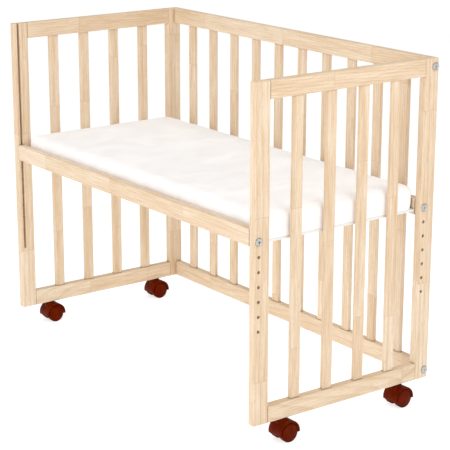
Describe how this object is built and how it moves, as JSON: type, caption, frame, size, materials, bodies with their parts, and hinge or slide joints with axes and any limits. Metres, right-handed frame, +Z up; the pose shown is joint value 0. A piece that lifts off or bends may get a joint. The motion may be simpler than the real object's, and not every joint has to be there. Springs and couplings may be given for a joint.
{
  "type": "bedside sleeper crib",
  "caption": "Rectangular slatted timber crib, open on one long side, with a height-adjustable mattress base, mattress and twin-wheel castors.",
  "frame": {"origin": "on the floor under the middle of the crib (bottom centre of the bounding box)", "axes": "+X along the length to the right-hand end panel, +Y from the open front to the slatted back, +Z up"},
  "size_m": [0.961, 0.47, 0.742],
  "materials": {
    "timber": "lacquered finger-jointed beech, satin",
    "white_board": "thin fibreboard, white coated",
    "mattress_cloth": "white woven cover",
    "zinc_steel": "zinc plated",
    "castor_plastic": "dark brown moulded plastic, glossy"
  },
  "bodies": {
    "frame": {"left_front_post": "timber", "left_back_post": "timber", "left_top_rail": "timber", "left_bottom_rail": "timber", "left_slat_1": "timber", "left_slat_2": "timber", "left_slat_3": "timber", "left_slat_4": "timber", "right_front_post": "timber", "right_back_post": "timber", "right_top_rail": "timber", "right_bottom_rail": "timber", "right_slat_1": "timber", "right_slat_2": "timber", "right_slat_3": "timber", "right_slat_4": "timber", "back_top_rail": "timber", "back_bottom_rail": "timber", "back_slat_01": "timber", "back_slat_02": "timber", "back_slat_03": "timber", "back_slat_04": "timber", "back_slat_05": "timber", "back_slat_06": "timber", "back_slat_07": "timber", "back_slat_08": "timber", "back_slat_09": "timber", "back_slat_10": "timber", "back_panel_bolts": "zinc_steel", "castor_stems": "zinc_steel"},
    "base": {"base_front_rail": "timber", "base_back_rail": "timber", "base_panel": "white_board", "base_bolts": "zinc_steel"},
    "mattress": {"mattress": "mattress_cloth"},
    "front_left_castor": {"front_left_castor_hood": "castor_plastic", "front_left_castor_axle": "zinc_steel"},
    "front_left_outer_wheel": {"front_left_outer_wheel": "castor_plastic"},
    "front_left_inner_wheel": {"front_left_inner_wheel": "castor_plastic"},
    "front_right_castor": {"front_right_castor_hood": "castor_plastic", "front_right_castor_axle": "zinc_steel"},
    "front_right_outer_wheel": {"front_right_outer_wheel": "castor_plastic"},
    "front_right_inner_wheel": {"front_right_inner_wheel": "castor_plastic"},
    "back_left_castor": {"back_left_castor_hood": "castor_plastic", "back_left_castor_axle": "zinc_steel"},
    "back_left_outer_wheel": {"back_left_outer_wheel": "castor_plastic"},
    "back_left_inner_wheel": {"back_left_inner_wheel": "castor_plastic"},
    "back_right_castor": {"back_right_castor_hood": "castor_plastic", "back_right_castor_axle": "zinc_steel"},
    "back_right_outer_wheel": {"back_right_outer_wheel": "castor_plastic"},
    "back_right_inner_wheel": {"back_right_inner_wheel": "castor_plastic"}
  },
  "joints": [
    {"name": "base_height", "type": "slide", "parent": "frame", "child": "base", "axis": [0, 0, 1], "range_m": [-0.1824, 0]},
    {"name": "mattress_lift", "type": "slide", "parent": "base", "child": "mattress", "axis": [0, 0, 1], "range_m": [0, 0.52]},
    {"name": "front_left_swivel", "type": "hinge", "parent": "frame", "child": "front_left_castor", "pos_m": [-0.459, -0.1555, 0.045], "axis": [0, 0, 1], "continuous": true},
    {"name": "front_left_outer_spin", "type": "hinge", "parent": "front_left_castor", "child": "front_left_outer_wheel", "pos_m": [-0.459, -0.1505, 0.02], "axis": [1, 0, 0], "continuous": true},
    {"name": "front_left_inner_spin", "type": "hinge", "parent": "front_left_castor", "child": "front_left_inner_wheel", "pos_m": [-0.459, -0.1505, 0.02], "axis": [1, 0, 0], "continuous": true},
    {"name": "front_right_swivel", "type": "hinge", "parent": "frame", "child": "front_right_castor", "pos_m": [0.459, -0.1555, 0.045], "axis": [0, 0, 1], "continuous": true},
    {"name": "front_right_outer_spin", "type": "hinge", "parent": "front_right_castor", "child": "front_right_outer_wheel", "pos_m": [0.459, -0.1505, 0.02], "axis": [1, 0, 0], "continuous": true},
    {"name": "front_right_inner_spin", "type": "hinge", "parent": "front_right_castor", "child": "front_right_inner_wheel", "pos_m": [0.459, -0.1505, 0.02], "axis": [1, 0, 0], "continuous": true},
    {"name": "back_left_swivel", "type": "hinge", "parent": "frame", "child": "back_left_castor", "pos_m": [-0.459, 0.1555, 0.045], "axis": [0, 0, 1], "continuous": true},
    {"name": "back_left_outer_spin", "type": "hinge", "parent": "back_left_castor", "child": "back_left_outer_wheel", "pos_m": [-0.459, 0.1605, 0.02], "axis": [1, 0, 0], "continuous": true},
    {"name": "back_left_inner_spin", "type": "hinge", "parent": "back_left_castor", "child": "back_left_inner_wheel", "pos_m": [-0.459, 0.1605, 0.02], "axis": [1, 0, 0], "continuous": true},
    {"name": "back_right_swivel", "type": "hinge", "parent": "frame", "child": "back_right_castor", "pos_m": [0.459, 0.1555, 0.045], "axis": [0, 0, 1], "continuous": true},
    {"name": "back_right_outer_spin", "type": "hinge", "parent": "back_right_castor", "child": "back_right_outer_wheel", "pos_m": [0.459, 0.1605, 0.02], "axis": [1, 0, 0], "continuous": true},
    {"name": "back_right_inner_spin", "type": "hinge", "parent": "back_right_castor", "child": "back_right_inner_wheel", "pos_m": [0.459, 0.1605, 0.02], "axis": [1, 0, 0], "continuous": true}
  ]
}
